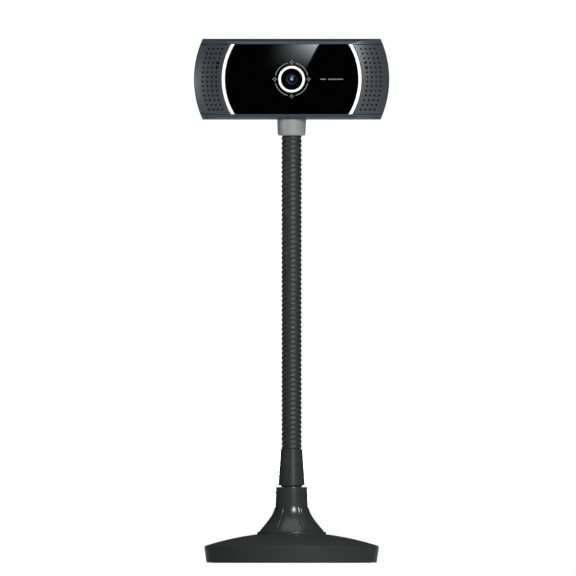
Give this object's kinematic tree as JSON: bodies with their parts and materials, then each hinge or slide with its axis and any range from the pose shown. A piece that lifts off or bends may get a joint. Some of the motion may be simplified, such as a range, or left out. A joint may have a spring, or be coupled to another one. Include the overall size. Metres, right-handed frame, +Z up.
{
  "type": "webcam",
  "caption": "Webcam with a wide, round-ended head on a straight flexible gooseneck, standing on a weighted round base.",
  "frame": {"origin": "centre of the rubber foot's underside, below the neck's axis", "axes": "+Z up along the straight neck, the lens looks along -Y, +X to the right as seen from the front"},
  "size_m": [0.09, 0.0804, 0.2425],
  "materials": {
    "base_plastic": "black moulded plastic, fine satin texture",
    "satin_black": "black satin enamel with a soft sheen",
    "neck_black": "matte black coated steel winding",
    "spring_steel": "bright spring steel",
    "zinc": "zinc plated steel",
    "cast_iron": "plain cast iron",
    "rubber": "matte black rubber",
    "collar_grey": "light grey satin plastic",
    "case_grey": "dark grey satin plastic, fine texture",
    "window_black": "mirror-smooth black acrylic",
    "trim_white": "white satin plastic",
    "lens_black": "anodised black",
    "glass": "coated optical glass",
    "filter_glass": "blue-green filter glass",
    "board_green": "green solder mask",
    "chip_black": "black epoxy",
    "socket_ivory": "ivory nylon"
  },
  "bodies": {
    "base": {"base_shell": "base_plastic", "neck_socket": "satin_black", "base_weight": "cast_iron", "base_cover": "base_plastic", "foot_pad": "rubber", "base_screw_1": "zinc", "base_screw_2": "zinc", "base_screw_3": "zinc"},
    "neck_foot": {"neck_ferrule": "satin_black", "neck_washer": "spring_steel", "neck_nut": "zinc", "neck_wire_1": "neck_black", "neck_coil_1": "spring_steel"},
    "link_1": {"neck_wire_2": "neck_black", "neck_coil_2": "spring_steel"},
    "link_2": {"neck_wire_3": "neck_black", "neck_coil_3": "spring_steel"},
    "link_3": {"neck_wire_4": "neck_black", "neck_coil_4": "spring_steel"},
    "link_4": {"neck_wire_5": "neck_black", "neck_coil_5": "spring_steel"},
    "link_5": {"neck_wire_6": "neck_black", "neck_coil_6": "spring_steel"},
    "link_6": {"neck_wire_7": "neck_black", "neck_coil_7": "spring_steel"},
    "link_7": {"neck_wire_8": "neck_black", "neck_coil_8": "spring_steel"},
    "neck_top": {"neck_wire_9": "neck_black", "neck_coil_9": "spring_steel", "neck_collar": "collar_grey", "pivot_bolt": "zinc", "pivot_washer": "spring_steel", "pivot_nut": "zinc"},
    "head": {"head_front_shell": "case_grey", "head_rear_shell": "case_grey", "front_window": "window_black", "grille_left": "case_grey", "grille_right": "case_grey", "trim_left": "trim_white", "trim_right": "trim_white", "lens_holder": "lens_black", "ir_filter": "filter_glass", "image_sensor": "chip_black", "main_board": "board_green", "image_chip": "chip_black", "cable_socket": "socket_ivory", "mic_left": "zinc", "mic_right": "zinc", "case_screw_1": "zinc", "case_screw_2": "zinc", "case_screw_3": "zinc", "case_screw_4": "zinc", "board_screw_1": "zinc", "board_screw_2": "zinc", "cable_gland": "rubber"},
    "focus_ring": {"focus_ring": "trim_white"},
    "lens_barrel": {"lens_barrel": "lens_black", "lens_glass_front": "glass", "lens_glass_rear": "glass"}
  },
  "joints": [
    {"name": "neck_swivel", "type": "hinge", "parent": "base", "child": "neck_foot", "pos_m": [0, 0, 0.0351], "axis": [0, 0, 1], "continuous": true},
    {"name": "neck_tilt_1", "type": "hinge", "parent": "neck_foot", "child": "link_1", "pos_m": [0, 0, 0.06167], "axis": [1, 0, 0], "range_deg": [-25, 25]},
    {"name": "neck_lean_1", "type": "hinge", "parent": "link_1", "child": "link_2", "pos_m": [0, 0, 0.07981], "axis": [0, 1, 0], "range_deg": [-25, 25]},
    {"name": "neck_tilt_2", "type": "hinge", "parent": "link_2", "child": "link_3", "pos_m": [0, 0, 0.09794], "axis": [1, 0, 0], "range_deg": [-25, 25]},
    {"name": "neck_lean_2", "type": "hinge", "parent": "link_3", "child": "link_4", "pos_m": [0, 0, 0.11608], "axis": [0, 1, 0], "range_deg": [-25, 25]},
    {"name": "neck_tilt_3", "type": "hinge", "parent": "link_4", "child": "link_5", "pos_m": [0, 0, 0.13422], "axis": [1, 0, 0], "range_deg": [-25, 25]},
    {"name": "neck_lean_3", "type": "hinge", "parent": "link_5", "child": "link_6", "pos_m": [0, 0, 0.15236], "axis": [0, 1, 0], "range_deg": [-25, 25]},
    {"name": "neck_tilt_4", "type": "hinge", "parent": "link_6", "child": "link_7", "pos_m": [0, 0, 0.17049], "axis": [1, 0, 0], "range_deg": [-25, 25]},
    {"name": "neck_lean_4", "type": "hinge", "parent": "link_7", "child": "neck_top", "pos_m": [0, 0, 0.18863], "axis": [0, 1, 0], "range_deg": [-25, 25]},
    {"name": "head_pan", "type": "hinge", "parent": "neck_top", "child": "head", "pos_m": [0, 0, 0.2051], "axis": [0, 0, 1], "continuous": true},
    {"name": "focus_turn", "type": "hinge", "parent": "head", "child": "focus_ring", "pos_m": [0, 0, 0.2238], "axis": [0, -1, 0], "range_deg": [0, 270]},
    {"name": "lens_travel", "type": "slide", "parent": "focus_ring", "child": "lens_barrel", "axis": [0, -1, 0], "range_m": [0, 0.000375]}
  ],
  "couplings": [
    {"joint": "focus_turn", "follows": "lens_travel", "rad_per_m": 12566}
  ]
}
